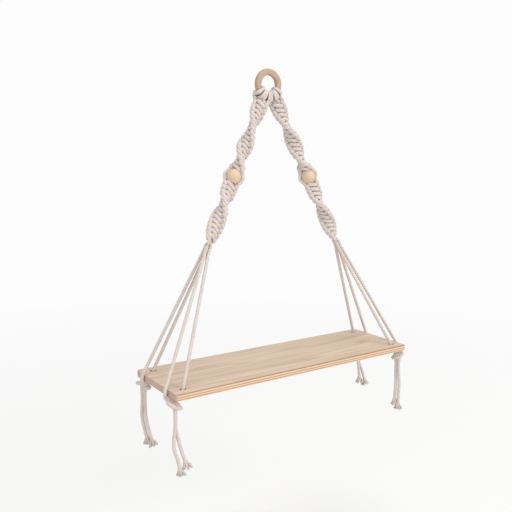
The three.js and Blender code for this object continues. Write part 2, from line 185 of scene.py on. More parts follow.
def smooth(points, step):
    """A smooth curve through the points, sampled evenly. Returns the samples and each given point's distance
    along the curve. The parameter t grows from point to point by the root of their distance, and a span
    mixes the four nearest points in pairs, the pairs into threes and the threes into one."""
    p = np.asarray(points, float)
    p = np.vstack([2 * p[0] - p[1], p, 2 * p[-1] - p[-2]])
    spans, marks, total = [p[1][None]], [0.0], 0.0
    least, finer = 4, 1.5
    for i in range(1, len(p) - 2):
        a, b, c, d = p[i - 1:i + 3]
        t0 = 0.0
        t1 = t0 + root_distance(a, b)
        t2 = t1 + root_distance(b, c)
        t3 = t2 + root_distance(c, d)
        count = max(least, int(np.linalg.norm(c - b) / step * finer))
        t = np.linspace(t1, t2, count + 1)[1:, None]
        ab, bc, cd = between(a, b, t0, t1, t), between(b, c, t1, t2, t), between(c, d, t2, t3, t)
        abc, bcd = between(ab, bc, t0, t2, t), between(bc, cd, t1, t3, t)
        span = between(abc, bcd, t1, t2, t)
        total += np.linalg.norm(np.diff(np.vstack([spans[-1][-1:], span]), axis=0), axis=1).sum()
        spans.append(span)
        marks.append(total)
    fine = np.vstack(spans)
    along = distances(fine)
    even = np.linspace(0, along[-1], max(3, int(round(along[-1] / step)) + 1))
    return np.stack([np.interp(even, along, fine[:, axis]) for axis in range(3)], 1), np.array(marks)


def strap_axes(side):
    """A strap's throat point and its axes: across it, square to the shelf's plane, and up along it, which is
    (0, 0, 1) turned by SPREAD to the middle and by LEAN to the wall."""
    upright = math.cos(SPREAD)
    up = np.array([-side * math.sin(SPREAD), upright * math.sin(LEAN), upright * math.cos(LEAN)])
    square = np.array([0, math.cos(LEAN), -math.sin(LEAN)])
    throat = np.array([side * THROAT_OUT, -THROAT_DROP * math.tan(LEAN), RING_Z - THROAT_DROP])
    return throat, np.cross(square, up), square, up


def place(side, x, y, along):
    """Points in a strap's frame, x across, y square to it and along down it, moved to the part's frame: the
    throat plus x, y and minus along times the axes."""
    throat, across, square, up = strap_axes(side)
    x, y, along = (np.atleast_1d(np.asarray(v, float))[:, None] for v in (x, y, along))
    return throat + x * across + y * square - along * up


def flat_angle(side, along):
    """How far the flat of the knots is turned: half turns between the places in TURNS, in even steps."""
    places, half_turns = TURNS[side]
    return NECK_ANGLE + np.interp(along, places, half_turns) * math.pi


def strap_point(side, along, u, v=0.0):
    """Points at u along the flat of the knots and v square to it, turned by the flat's angle a there:
    (u cos a - v sin a, u sin a + v cos a)."""
    along, u, v = np.broadcast_arrays(np.asarray(along, float), u, v)
    a = flat_angle(side, along)
    return place(side, u * np.cos(a) - v * np.sin(a), u * np.sin(a) + v * np.cos(a), along)


def half_knots(side, first, count, start, sign, pitch):
    """A knotting cord through its half knots, which hook round the other cord's: u = HALF_WIDTH cos t,
    v = HOOK_3 sin 3t + HOOK_5 sin 5t - HOOK_1 sin t, and along = start + pitch t / pi + ALONG_2 sin 2t -
    ALONG_4 sin 4t, where t gains pi in a knot. The other cord has the other sign."""
    t = np.arange(count * KNOT_POINTS) / KNOT_POINTS * math.pi
    turn = t + first * math.pi
    u = HALF_WIDTH * np.cos(turn)
    v = HOOK_3 * np.sin(3 * turn) + HOOK_5 * np.sin(5 * turn) - HOOK_1 * np.sin(turn)
    along = start + pitch * t / math.pi + ALONG_2 * np.sin(2 * t) - ALONG_4 * np.sin(4 * t)
    return strap_point(side, along, sign * u, sign * v)


def bundle(side, corner, along):
    """A corner of the square bundle under a strap: PAIR_OFF from its axis each way."""
    return place(side, corner[0] * PAIR_OFF, corner[1] * PAIR_OFF, along)


def outlet(side, u, corner):
    """Points under the knots, where a cord goes from its place u in the flat to its corner of the bundle:
    (1 - w) flat + w bundle, with w = sin^2 of a growing angle."""
    rows = []
    for share in OUTLET_SHARES:
        along = KNOTS_END[side] + share * OUTLET
        w = math.sin(min(share / GATHERED, 1) * math.pi / 2) ** 2
        rows.append((1 - w) * strap_point(side, along, u) + w * bundle(side, corner, along))
    return np.vstack(rows)


def knotting_route(side, sign, corner):
    """A knotting cord down its strap: half knots, past the bead in an arc of u = HALF_WIDTH + bow
    sin^2(pi share), half knots again, and the outlet."""
    above = BEAD_PLACE - BEAD_PASS / 2
    below = BEAD_PLACE + BEAD_PASS / 2
    at_bead = sign * (-1) ** KNOTS_ABOVE
    at_end = sign * (-1) ** (KNOTS_ABOVE + KNOTS_BELOW)
    bow = BEAD / 2 + KNOTTING_ROPE / 2 - HALF_WIDTH
    arc = HALF_WIDTH + bow * np.sin(BEAD_SHARES * math.pi) ** 2
    return np.vstack([
        half_knots(side, -1, KNOTS_ABOVE + 1, -PITCH, sign, (above + PITCH) / (KNOTS_ABOVE + 1)),
        strap_point(side, above + BEAD_SHARES * BEAD_PASS, at_bead * arc),
        half_knots(side, KNOTS_ABOVE, KNOTS_BELOW, below, sign, (KNOTS_END[side] - below) / KNOTS_BELOW),
        strap_point(side, KNOTS_END[side], at_end * (HALF_WIDTH - LAST_IN)),
        outlet(side, at_end * HALF_WIDTH, corner),
    ])


def in_bead(along):
    """1 where a strap's cords run through its bead, falling evenly to 0 at BORE_FADE past its ends."""
    reach = [BEAD_LONG / 2 + BORE_CLEAR, BEAD_LONG / 2 + BORE_FADE]
    return np.interp(np.abs(along - BEAD_PLACE), reach, [1, 0])


def core_route(side, sign, corner):
    """A core cord down its strap, CORE_OFF from the axis and drawn in to CORE_IN_BEAD in the bead, and the
    outlet."""
    along = np.concatenate([[-PITCH], np.linspace(0, KNOTS_END[side], CORE_POINTS)])
    off = CORE_OFF + (CORE_IN_BEAD - CORE_OFF) * in_bead(along)
    return np.vstack([strap_point(side, along, sign * off), outlet(side, sign * CORE_OFF, corner)])


def hitch_route(angle, outwards, strand):
    """Half a lark's head: from the bar behind the ring, under it, up its front, over its inner edge and down
    behind it to the strap. A point of (offset, radius, y) lies round the ring at the angle a, which is the
    hitch's own plus outwards times asin(offset / radius), at (radius sin a, y, RING_Z - radius cos a)."""
    low, high, way, u = HITCH_STRANDS[strand]
    clear = HITCH_ROPE / 2 + HITCH_CLEAR
    bend = (RING_EDGE + clear) * math.sqrt(0.5)
    face = RING_THICK / 2 + clear
    edge = RING_THICK / 2 - RING_EDGE + bend
    bar = face + HITCH_ROPE
    inner, outer = RING_INNER + RING_EDGE, RING_OUTER - RING_EDGE
    middle = (inner + outer) / 2
    offset, radius, y = np.array([
        (0, middle, bar), (HITCH_PASS, middle, bar), (HITCH_TURN, outer, bar - GAP),
        (low, RING_OUTER + clear / 2, face), (low, RING_OUTER + clear, 0), (low, outer + bend, -edge),
        ((low + high) / 2, middle, -face), (high, inner - bend, -edge), (high, RING_INNER - clear, 0),
        (high, inner - bend, edge), (HITCH_PASS, inner, face), (HITCH_PASS, outer, face),
        (HITCH_PASS, RING_OUTER + GAP, face),
    ]).T
    a = angle + outwards * np.arcsin(offset / radius)
    on_ring = np.stack([radius * np.sin(a), y, RING_Z - radius * np.cos(a)], 1)
    side = RIGHT if angle > 0 else LEFT
    last = strap_point(side, -PITCH - ABOVE_KNOTS, side * u)
    return np.vstack([on_ring, np.array(way) * [side, 1, 1], last])


def ring_press(path, weight):
    """For each point, a matrix that widens offsets round the ring and flattens them square to that, faded in
    by the weight and, for the widening, from the ring's inner edge to its outer edge: f I + (w - f) r r^T,
    with r the way round the ring."""
    radial = path - [0, 0, RING_Z]
    radial[:, 1] = 0
    reach = np.linalg.norm(radial, axis=1)
    round_way = np.cross([0, 1, 0], radial / reach[:, None])
    fan = np.clip((reach - RING_INNER) / (RING_OUTER - RING_INNER), 0, 1)
    wider = 1 + (RING_WIDER - 1) * (RING_FAN + (1 - RING_FAN) * fan)
    flattened = np.eye(3)[None] * (1 + weight * (RING_FLATTER - 1))[:, None, None]
    widened = (weight * (wider - RING_FLATTER))[:, None, None]
    return flattened + widened * round_way[:, :, None] * round_way[:, None, :]


def strap_press(side, path, weight, strand):
    """For each point, a matrix that scales offsets across, square to and along the strap's flat, faded in by
    the weight, and for the core cords out again in the bead: I + weight (scale - 1) a a^T for each axis."""
    throat, across, square, up = strap_axes(side)
    along = (throat - path) @ up
    turn = flat_angle(side, along)
    weight = weight if strand == "knotting" else weight * (1 - in_bead(along))
    flat = np.cos(turn)[:, None] * across + np.sin(turn)[:, None] * square
    thick = np.cos(turn)[:, None] * square - np.sin(turn)[:, None] * across
    matrix = np.repeat(np.eye(3)[None], len(path), 0)
    for axis, scale in zip((flat, thick, np.tile(up, (len(path), 1))), STRAP_PRESSED[strand]):
        matrix += (weight * (scale - 1))[:, None, None] * axis[:, :, None] * axis[:, None, :]
    return matrix


def cord_place(side, depth, kind):
    """Where a hanger crosses the middle of the board's thickness: in its hole, or just off the end."""
    x = BOARD_X / 2 - HOLE_IN if kind == "hole" else BOARD_X / 2 + ROPE / 2 + END_GAP
    y = BOARD_Y / 2 - (HOLE_EDGE if kind == "hole" else END_IN)
    return np.array([side * x, BOARD_MID + depth * y, BOARD_TOP - BOARD_Z / 2])


def hanger_route(side, depth, kind):
    """A hanger under load, straight from the bundle to the top rim of its hole or of the board's end."""
    corner = (side if kind == "end" else -side, depth)
    leaving = bundle(side, corner, KNOTS_END[side] + OUTLET + ROPE)[0]
    foot = cord_place(side, depth, kind)
    towards = leaving - foot
    towards[2] = 0
    rim = foot + unit(towards) * GAP * 2
    rim[2] = BOARD_TOP + GAP
    run = [leaving + (rim - leaving) * share for share in HANGER_SHARES]
    return np.array([leaving, *run, rim])


def knot_line():
    """The middle line of an overhand knot, a long trefoil: (t^3 - 3t, t^4 - 4t^2 + 2, t^5 - 10t) in the
    knot's steps, with t from KNOT_REACH down to minus that."""
    t = KNOT_REACH * (1 - np.arange(2 * KNOT_HALF + 1) / KNOT_HALF)
    line = np.stack([t ** 3 - 3 * t, t ** 4 - 4 * t ** 2 + 2, t ** 5 - 10 * t], 1) * KNOT_STEP
    return np.vstack([[0, -KNOT_STEP[1], KNOT_HIGH / 4], line, [0, 0, -KNOT_HIGH / 3]])


def knot_route(side, depth, kind):
    """One of a knot's two cords: in under the board, along the overhand line at KNOT_SQUEEZE of PAIR_OFF to
    one side of it, and out below."""
    centre = np.array([side * (BOARD_X / 2 - KNOT_IN), BOARD_MID + depth * (BOARD_Y / 2 - KNOT_EDGE),
                       BOARD_TOP - BOARD_Z - KNOT_GAP - KNOT_HIGH / 2])
    mirror = np.array([side, depth, 1])
    start = (cord_place(side, depth, kind) - centre) * mirror
    inward = unit(np.array([-start[0], -KNOT_STEP[1] - start[1], 0]))
    under = KNOT_HIGH / 2 - ROPE / 2
    inlet = []
    for share, rise in KNOT_INLET:
        point = start + inward * ROPE * share
        point[2] = under + ROPE * rise
        inlet.append(point)
    line, _ = smooth(knot_line(), 1.0)
    line = line[np.linspace(0, len(line) - 1, KNOT_BODY).astype(int)]
    _, normals, _ = frames_along(line)
    off = PAIR_OFF * (KNOT_SQUEEZE if kind == "hole" else -KNOT_SQUEEZE)
    body = line + normals * off
    below = body[-1] * [1, 1, 0]
    out = [below + [0, 0, -KNOT_HIGH / 2], below + [0, 0, -KNOT_HIGH / 2 - TAIL_START]]
    return np.vstack([start, inlet, body, out]) * mirror + centre


def tail_route(side_name, depth_name, number, start):
    """A tail hanging from its start by even drops, each with its sway."""
    length, sways = TAILS[side_name, depth_name, number]
    drops = length * (np.arange(len(sways)) + 1) / len(sways)
    return start + np.array(sways)[:, None] * SWAY - drops[:, None] * [0, 0, 1] - [0, 0, KNOT_GAP]


# Meshes

def frames_along(path):
    """Frames that turn no more than the path does: each is the last one reflected across the step, and then
    across the change that is left between the tangents."""
    tangents = unit(np.gradient(path, axis=0))
    off_path = [0.3, 1, 0.2]
    nothing = 1e-18
    normal = np.cross(tangents[0], off_path)
    normals = [normal / np.linalg.norm(normal)]
    for i in range(len(path) - 1):
        chord = path[i + 1] - path[i]
        c = chord @ chord
        n = normals[-1] - 2 / c * (chord @ normals[-1]) * chord
        t = tangents[i] - 2 / c * (chord @ tangents[i]) * chord
        turn = tangents[i + 1] - t
        c = turn @ turn
        n = n - 2 / c * (turn @ n) * turn if c > nothing else n
        n = n - (n @ tangents[i + 1]) * tangents[i + 1]
        normals.append(n / np.linalg.norm(n))
    normals = np.array(normals)
    return tangents, normals, np.cross(tangents, normals)


def make_mesh(name, vertices, faces, lay=None):
    """A smooth-shaded mesh object. The lay's four columns are kept as attributes: where a point is in the
    pattern of fibres, and how deep it lies in a groove between strands, and for a yarn in its tuft, by which
    the cotton paints shade."""
    mesh = bpy.data.meshes.new(name)
    mesh.from_pydata((np.asarray(vertices) * MM).tolist(), [], faces)
    if lay is not None:
        attribute = mesh.attributes.new("lay", "FLOAT_VECTOR", "POINT")
        attribute.data.foreach_set("vector", np.asarray(lay[:, :3], np.float32).ravel())
        attribute = mesh.attributes.new("groove", "FLOAT", "POINT")
        attribute.data.foreach_set("value", np.asarray(lay[:, 3], np.float32).ravel())
    mesh.polygons.foreach_set("use_smooth", [True] * len(mesh.polygons))
    mesh.update()
    obj = bpy.data.objects.new(name, mesh)
    bpy.context.scene.collection.objects.link(obj)
    return obj


def rope_rings(path, radii, pressed):
    """Rings of a rope of three strands: a strand's rounded shape at the angle 2 pi (j / n - s / LAY_LENGTH),
    for vertex j of n at the distance s. pressed holds each ring's matrix for its offsets from the middle."""
    tangents, normals, binormals = frames_along(path)
    along = distances(path)
    count = STRANDS * PER_STRAND
    base = np.arange(count) / count * FULL_TURN
    angle = base[None] - along[:, None] / LAY_LENGTH * FULL_TURN
    shape = np.tile(STRAND_SHAPE, STRANDS)[None]
    reach = shape * radii[:, None]
    offsets = (reach * np.cos(angle))[..., None] * normals[:, None]
    offsets = offsets + (reach * np.sin(angle))[..., None] * binormals[:, None]
    offsets = np.einsum("nij,nkj->nki", pressed, offsets)
    fibre = base[None] + along[:, None] * FIBRE_TURN
    down = np.repeat(along[:, None], count, 1)
    groove = np.repeat((1 - shape) / GROOVE_DEPTH, len(path), 0)
    lay = np.stack([np.cos(fibre) * FIBRE_RADIUS, np.sin(fibre) * FIBRE_RADIUS, down, groove], -1)
    return path[:, None] + offsets, lay


def tube_faces(rows, count, first=0):
    """Quads between rings of count vertices each, numbered on from the first."""
    i = np.arange(rows - 1)[:, None] * count + first
    j = np.arange(count)[None]
    k = (j + 1) % count
    return np.stack([i + j, i + k, i + count + k, i + count + j], -1).reshape(-1, 4).tolist()


def rope_piece(name, lengths):
    """One mesh of one or more lengths of rope, each given as (rings, lay). The ends are closed by rings of
    their own, so the rope's shading runs on from piece to piece."""
    vertices, lays, faces, first = [], [], [], 0
    for rings, lay in lengths:
        rows, count = rings.shape[:2]
        vertices += [rings.reshape(-1, 3), rings[0], rings[-1]]
        lays += [lay.reshape(-1, 4), lay[0], lay[-1]]
        faces += tube_faces(rows, count, first)
        first += rows * count
        faces += [list(range(first, first + count))[::-1], list(range(first + count, first + 2 * count))]
        first += 2 * count
    return make_mesh(name, np.vstack(vertices), faces, np.vstack(lays))


# Frayed ends: yarns in bunches. Pairs are the least and the most of a random draw.
FRAY_SEED, FRAY_LONG = 40, 13.5
YARNS, BUNCHES = 240, 6
YARN_ROWS, YARN_SIDES = 9, 5
YARN_SHAPE = np.array([1.0, 1.15, 1.2, 1.2, 1.15, 1.1, 1.0, 0.8, 0.3])
YARN_THICK, YARN_OFF, YARN_INSIDE = (0.26, 0.44), 2.05, 2.5
YARN_LONG, OUTER_SHORTER = (0.9, 1.0), 0.08
BUNCH_FLARE, BUNCH_LONG, YARN_FLARE = (1.4, 4.6), (0.86, 1.04), (0.6, 2.4)
CURL, WAVE, WAVE_TURNS = (0.2, 0.8), 0.35, (3, 7)
# A yarn's random shift in the pattern of fibres, and the painted shade given to yarns deep in the tuft
PATTERN_SHIFT, INNER_YARN_SHADE = (-40, 40), 0.5


def fray(name, end, direction, seed):
    """The last of a rope, unlaid into a tuft of yarns in a few bunches: each yarn leaves the rope at its own
    place in the section, opens outwards with its bunch by flare t^1.5, curls by t^2, waves by t sin(w t),
    and ends blunt."""
    rng = np.random.default_rng(seed)
    direction = unit(direction)
    side_a = unit(np.cross(direction, [0.2, 1, 0.1]))
    side_b = np.cross(direction, side_a)
    t = np.linspace(0, 1, YARN_ROWS)[:, None]
    ring_angle = np.arange(YARN_SIDES) / YARN_SIDES * FULL_TURN
    bunch_angle = (np.arange(BUNCHES) + 0.5) / BUNCHES * FULL_TURN
    bunch_out = side_a * np.cos(bunch_angle)[:, None] + side_b * np.sin(bunch_angle)[:, None]
    bunch_flare, bunch_long = rng.uniform(*BUNCH_FLARE, BUNCHES), rng.uniform(*BUNCH_LONG, BUNCHES)
    vertices, faces, lays = [], [], []
    for index in range(YARNS):
        share, r = rng.uniform(0, 1), math.sqrt(rng.uniform(0, 1))
        bunch = int(share * BUNCHES)
        angle = share * FULL_TURN
        out = side_a * math.cos(angle) + side_b * math.sin(angle)
        curl, side_curl = unit(rng.normal(size=3)), unit(rng.normal(size=3))
        own = FRAY_LONG * bunch_long[bunch] * (rng.uniform(*YARN_LONG) - OUTER_SHORTER * r)
        flare = bunch_flare[bunch] * bunch_out[bunch] + rng.uniform(*YARN_FLARE) * r * out
        path = end + out * r * YARN_OFF + direction * (t * own - YARN_INSIDE) + flare * t ** 1.5
        path = path + curl * rng.uniform(*CURL) * t ** 2
        path = path + side_curl * WAVE * np.sin(t * rng.uniform(*WAVE_TURNS)) * t
        _, normals, binormals = frames_along(path)
        thick = (rng.uniform(*YARN_THICK) * YARN_SHAPE)[:, None]
        rings = path[:, None] + (thick * np.cos(ring_angle))[..., None] * normals[:, None]
        rings = rings + (thick * np.sin(ring_angle))[..., None] * binormals[:, None]
        vertices.append(rings.reshape(-1, 3))
        # The yarn's shift in the pattern of fibres, and painted shade by how deep it lies in the tuft, which
        # the cotton darkens like a groove
        shade = np.concatenate([rng.uniform(*PATTERN_SHIFT, 3), [INNER_YARN_SHADE * (1 - r)]])
        lays.append(shade + np.repeat(t, YARN_SIDES, 1).reshape(-1, 1) * own * [0, 0, 1, 0])
        first = index * YARN_ROWS * YARN_SIDES
        faces += tube_faces(YARN_ROWS, YARN_SIDES, first)
        last = first + (YARN_ROWS - 1) * YARN_SIDES
        faces.append(list(range(last, last + YARN_SIDES)))
    return make_mesh(name, np.vstack(vertices), faces, np.vstack(lays))


# Camera, fitted to the photograph's board edges, ring and holes
CAMERA_AT = (-0.57658, -0.80251, -0.12473)
CAMERA_AZIMUTH, CAMERA_HEIGHT, CAMERA_ROLL = (math.radians(v) for v in (-34.8, 8.42, 0.57))
CAMERA_SENSOR, CAMERA_LENS = 36, 45.49


def placed(across, square, up, centre):
    """A matrix whose columns are three axes and a place."""
    rows = np.column_stack([across, square, up, centre]).tolist()
    return Matrix(rows + [[0, 0, 0, 1]])


def camera():
    """The camera: its back axis is (sin a cos h, -cos a cos h, sin h) for azimuth a and height h, its right
    axis is level, and right and up are then turned round the back axis by the roll."""
    data = bpy.data.cameras.new("view")
    data.sensor_width, data.lens = CAMERA_SENSOR, CAMERA_LENS
    obj = bpy.data.objects.new("view", data)
    bpy.context.scene.collection.objects.link(obj)
    level = math.cos(CAMERA_HEIGHT)
    back = np.array([math.sin(CAMERA_AZIMUTH) * level, -math.cos(CAMERA_AZIMUTH) * level,
                     math.sin(CAMERA_HEIGHT)])
    right = unit(np.cross([0, 0, 1], back))
    up = np.cross(back, right)
    rolled_right = math.cos(CAMERA_ROLL) * right + math.sin(CAMERA_ROLL) * up
    rolled_up = -math.sin(CAMERA_ROLL) * right + math.cos(CAMERA_ROLL) * up
    obj.matrix_world = placed(rolled_right, rolled_up, back, CAMERA_AT)
    bpy.context.scene.camera = obj


camera()

# Ropes. Each is given by its side, its hitch and that hitch's angle round the ring, which way it goes from
# the hitch's middle, its strand, and its corner of the bundle under the strap.
ROPES = [
    ("left", 1, -49, -1, "outer_knotting", (1, 1)),
    ("left", 1, -49, 1, "outer_core", (-1, 1)),
    ("left", 2, -15.5, -1, "inner_core", (1, -1)),
    ("left", 2, -15.5, 1, "inner_knotting", (-1, -1)),
    ("right", 3, 18, -1, "inner_knotting", (1, 1)),
    ("right", 3, 18, 1, "inner_core", (-1, 1)),
    ("right", 4, 51, -1, "outer_core", (1, -1)),
    ("right", 4, 51, 1, "outer_knotting", (-1, -1)),
]

# The ropes' step, the points of a hitch's route from where it leaves the ring, how far apart the ropes are
# in the pattern of fibres, and the steps that give a tail's direction at its end
STEP = 0.85
ROUTE_AFTER_RING = 3
LAY_APART = 300
END_STEPS = 5

# How far before and after a place the rope's thickness or its pressing changes
THROAT_FADE, RING_FADE = 5, 8
STRAP_FADE, BOARD_FADE, KNOT_FADE = (8, 4), (6, 2), (3, 3)
PRESS_FADE = (4, 12)

pieces = []
hitch_lengths, knot_lengths = {}, {}


def make_rope(number, side_name, hitch, angle, outwards, strand, corner):
    """One rope, on one smooth route from its hitch to its tail, cut into pieces where the part's nodes are
    cut. Its thickness and pressing go evenly from value to value between the named places."""
    side, sign = SIDE[side_name], -outwards
    depth_name = "front" if corner[1] < 0 else "back"
    depth = DEPTH[depth_name]
    corner_name = f"{side_name}_{depth_name}"
    kind = "end" if corner[0] * side > 0 else "hole"
    use = strand.split("_")[1]
    cord_number = 1 if outwards < 0 else 2
    tail_number = 1 if kind == "hole" else 2

    strap_route = knotting_route if use == "knotting" else core_route
    parts = [hitch_route(math.radians(angle), outwards, strand), strap_route(side, sign, corner),
             hanger_route(side, depth, kind), knot_route(side, depth, kind)]
    parts.append(tail_route(side_name, depth_name, tail_number, parts[-1][-1]))
    path, marks = smooth(np.vstack(parts), STEP)
    counts = np.cumsum([len(part) for part in parts])
    along = np.linspace(0, marks[-1], len(path))
    off_ring = marks[counts[0] - ROUTE_AFTER_RING]
    throat = marks[counts[0] + (KNOT_POINTS if use == "knotting" else 1)]
    strap_end, board, knot_end = marks[counts[1] - 1], marks[counts[2]], marks[counts[3] - 1]

    strap_rope = KNOTTING_ROPE if use == "knotting" else CORE_ROPE
    places = [0, off_ring, off_ring + THROAT_FADE, strap_end - STRAP_FADE[0], strap_end + STRAP_FADE[1],
              board - BOARD_FADE[0], board + BOARD_FADE[1], knot_end - KNOT_FADE[0], knot_end + KNOT_FADE[1]]
    thickness = [HITCH_ROPE, HITCH_ROPE, strap_rope, strap_rope, ROPE, ROPE, CORNER_ROPE, CORNER_ROPE, ROPE]
    radii = np.interp(along, places, thickness) / 2
    places = [off_ring + PRESS_FADE[0], off_ring + PRESS_FADE[1], strap_end - STRAP_FADE[0],
              strap_end + STRAP_FADE[1]]
    in_strap = np.interp(along, places, [0, 1, 1, 0])
    on_ring = np.interp(along, [off_ring - RING_FADE, off_ring], [1, 0])
    pressed = np.where(on_ring[:, None, None] > 0, ring_press(path, on_ring),
                       strap_press(side, path, in_strap, use))
    rings, lay = rope_rings(path, radii, pressed)
    lay[..., 2] += number * LAY_APART

    cuts = np.searchsorted(along, [0, throat, strap_end, board, knot_end]).tolist() + [len(along) - 1]
    hitch_part, strap_part, hanger_part, knot_part, tail_part = [
        (rings[start:stop + 1], lay[start:stop + 1]) for start, stop in zip(cuts, cuts[1:])]
    hitch_lengths.setdefault((side_name, hitch), []).append(hitch_part)
    knot_lengths.setdefault(corner_name, []).append(knot_part)
    strap = rope_piece(f"{side_name}_{use}_rope_{cord_number}", [strap_part])
    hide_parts(f"{side_name}_{use}_cord_{cord_number}")
    hanger = rope_piece(f"{corner_name}_{kind}_rope", [hanger_part])
    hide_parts(f"{corner_name}_{kind}_cord")
    tail = rope_piece(f"{corner_name}_tail_rope_{tail_number}", [tail_part])
    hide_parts(f"{corner_name}_tail_{tail_number}")
    direction = path[-1] - path[-1 - END_STEPS]
    frayed_end = fray(f"{corner_name}_frayed_end_{tail_number}", path[-1], direction, FRAY_SEED + number)
    for piece in (strap, hanger, tail, frayed_end):
        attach(piece, "harness")
        pieces.append(piece)


for number, rope in enumerate(ROPES):
    make_rope(number, *rope)

for (side_name, hitch), lengths in hitch_lengths.items():
    piece = rope_piece(f"hitch_rope_{hitch}", lengths)
    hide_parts(f"ring_hitch_{hitch}")
    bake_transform(piece)
    pieces.append(piece)

for corner_name, lengths in knot_lengths.items():
    piece = rope_piece(f"{corner_name}_knot_ropes", lengths)
    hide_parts(f"{corner_name}_knot")
    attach(piece, "harness")
    pieces.append(piece)


# Turned wood
RING_SIDES, BEAD_SIDES = 128, 72
EDGE_POINTS, BEAD_POINTS, LIP_POINTS = 7, 33, 6


def turned(name, profile, sides, matrix):
    """A surface of revolution, (r cos a, r sin a, h) for a closed profile of (r, h), moved by the matrix."""
    a = np.arange(sides) / sides * FULL_TURN
    r, h = np.asarray(profile, float).T
    points = np.stack([r[:, None] * np.cos(a), r[:, None] * np.sin(a), np.repeat(h[:, None], sides, 1)], -1)
    i = np.arange(len(r))[:, None] * sides
    i2 = ((np.arange(len(r)) + 1) % len(r))[:, None] * sides
    j = np.arange(sides)[None]
    k = (j + 1) % sides
    faces = np.stack([i + j, i + k, i2 + k, i2 + j], -1).reshape(-1, 4).tolist()
    matrix = np.array(matrix)
    return make_mesh(name, points.reshape(-1, 3) @ matrix[:3, :3].T + matrix[:3, 3], faces)


def rounded_section(inner, outer, half, radius):
    """A rectangle from inner to outer and half each way from the middle, with rounded corners, as (r, h)
    points in order: each corner is a quarter circle round a centre the radius in from both sides."""
    corners = ((outer - radius, half - radius, 0), (inner + radius, half - radius, 90),
               (inner + radius, -half + radius, 180), (outer - radius, -half + radius, 270))
    rows = []
    for r, h, start in corners:
        a = np.radians(start + np.linspace(0, 90, EDGE_POINTS))
        rows.append(np.stack([r + radius * np.cos(a), h + radius * np.sin(a)], 1))
    return np.vstack(rows)


def bead_profile():
    """A ball, r = (BEAD / 2) cos a and h = sin a scaled to BEAD_LONG, with its bore's rims rounded off."""
    bore = BEAD_BORE / 2
    rim = math.acos((bore + BEAD_LIP) / (BEAD / 2))
    a = np.linspace(-rim, rim, BEAD_POINTS)
    outside = np.stack([BEAD / 2 * np.cos(a), BEAD_LONG / 2 * np.sin(a) / math.sin(rim)], 1)
    c = np.radians(np.linspace(90, 180, LIP_POINTS))[1:]
    lip_r, lip_h = bore + BEAD_LIP, BEAD_LONG / 2 - BEAD_LIP
    top = np.stack([lip_r + BEAD_LIP * np.cos(c), lip_h + BEAD_LIP * np.sin(c)], 1)
    return np.vstack([outside, top, top[::-1] * [1, -1]])


ring_matrix = Matrix.Translation((0, 0, RING_Z)) @ Matrix.Rotation(math.pi / 2, 4, "X")
ring_section = rounded_section(RING_INNER, RING_OUTER, RING_THICK / 2, RING_EDGE)
ring = turned("turned_ring", ring_section, RING_SIDES, ring_matrix)
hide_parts("hanging_ring")
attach(ring, "ring")

beads = []
for side_name, side in SIDE.items():
    throat, across, square, up = strap_axes(side)
    bead_matrix = placed(across, square, up, throat - up * BEAD_PLACE)
    bead = turned(f"{side_name}_turned_bead", bead_profile(), BEAD_SIDES, bead_matrix)
    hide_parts(f"{side_name}_bead")
    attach(bead, f"{side_name}_bead")
    beads.append(bead)


# Materials

def put(tree, socket, value):
    """Joins an output to the socket, or sets a plain value on it."""
    if isinstance(value, bpy.types.NodeSocket):
        tree.links.new(value, socket)
    else:
        socket.default_value = value


def add(tree, kind, **settings):
    """A new node. Each setting goes to the input of that name, or to the node itself where it has none."""
    made = tree.nodes.new(kind)
    for name, value in settings.items():
        if name in made.inputs:
            put(tree, made.inputs[name], value)
        else:
            setattr(made, name, value)
    return made


def maths(tree, operation, *values):
    """The result of one operation on the values."""
    made = add(tree, "ShaderNodeMath", operation=operation)
    for socket, value in zip(made.inputs, values):
        put(tree, socket, value)
    return made.outputs[0]


def mixed(tree, factor, first, second):
    """The first colour, and by the factor the second: (1 - factor) first + factor second."""
    made = add(tree, "ShaderNodeMix", data_type="RGBA")
    for socket, value in ((0, factor), (6, first), (7, second)):
        put(tree, made.inputs[socket], value)
    return made.outputs[2]


def ramp(tree, factor, *stops):
    """A colour that goes evenly from stop to stop as the factor grows."""
    made = tree.nodes.new("ShaderNodeValToRGB")
    put(tree, made.inputs["Fac"], factor)
    elements = made.color_ramp.elements
    while len(elements) < len(stops):
        elements.new(0.5)
    for element, (position, colour) in zip(elements, stops):
        element.position, element.color = position, colour
    return made.outputs["Color"]


def linear(r, g, b):
    """An sRGB colour of 0 to 255 as linear light: ((v + 0.055) / 1.055)^2.4, or v / 12.92 where dark."""
    return tuple(((v / 255 + 0.055) / 1.055) ** 2.4 if v > 10 else v / 255 / 12.92 for v in (r, g, b)) + (1,)


def new_material(name):
    """A material with its node tree and its own shader."""
    material = bpy.data.materials.new(name)
    material.use_nodes = True
    return material, material.node_tree, material.node_tree.nodes["Principled BSDF"]


def finish_surface(tree, shader, colour, height, strength, distance, roughness):
    """Joins a colour and a height, as bump, to the shader, and sets its roughness."""
    put(tree, shader.inputs["Base Color"], colour)
    bump = add(tree, "ShaderNodeBump", Strength=strength, Distance=distance, Height=height)
    put(tree, shader.inputs["Normal"], bump.outputs["Normal"])
    put(tree, shader.inputs["Roughness"], roughness)


